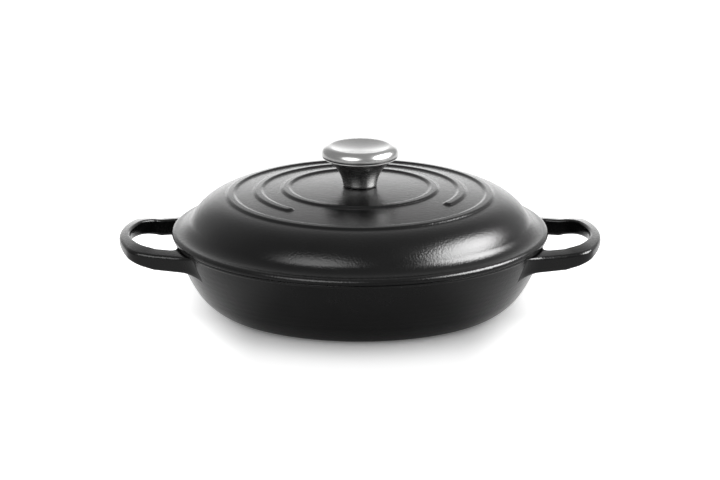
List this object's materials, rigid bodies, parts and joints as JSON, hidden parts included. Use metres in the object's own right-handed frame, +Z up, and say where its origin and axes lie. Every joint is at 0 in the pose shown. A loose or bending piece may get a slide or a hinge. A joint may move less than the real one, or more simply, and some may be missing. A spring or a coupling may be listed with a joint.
{
  "type": "shallow casserole with lid",
  "caption": "Shallow enamelled cast-iron casserole with loop handles, a domed lid with raised rings and a hollow steel knob.",
  "frame": {"origin": "centre of the pan's base, on the surface it stands on", "axes": "+X through the right loop handle, -Y towards the front, +Z up through the knob"},
  "size_m": [0.3486, 0.272, 0.1144],
  "materials": {
    "pan_enamel": "satin black enamel on cast iron",
    "lid_enamel": "satin black enamel on cast iron",
    "cap_steel": "brushed stainless steel",
    "stem_steel": "brushed stainless steel",
    "insert_steel": "machined steel",
    "screw_steel": "stainless steel",
    "washer_steel": "stainless steel"
  },
  "bodies": {
    "pan": {"pan_casting": "pan_enamel"},
    "knob": {"knob_cap": "cap_steel", "knob_stem": "stem_steel", "knob_insert": "insert_steel", "knob_screw": "screw_steel", "screw_washer": "washer_steel"},
    "lid": {"lid_casting": "lid_enamel"}
  },
  "joints": [
    {"name": "lid_lift", "type": "slide", "parent": "pan", "child": "knob", "axis": [0, 0, 1], "range_m": [0, 0.15]},
    {"name": "lid_turn", "type": "hinge", "parent": "knob", "child": "lid", "pos_m": [0, 0, 0.085], "axis": [0, 0, 1], "continuous": true}
  ]
}
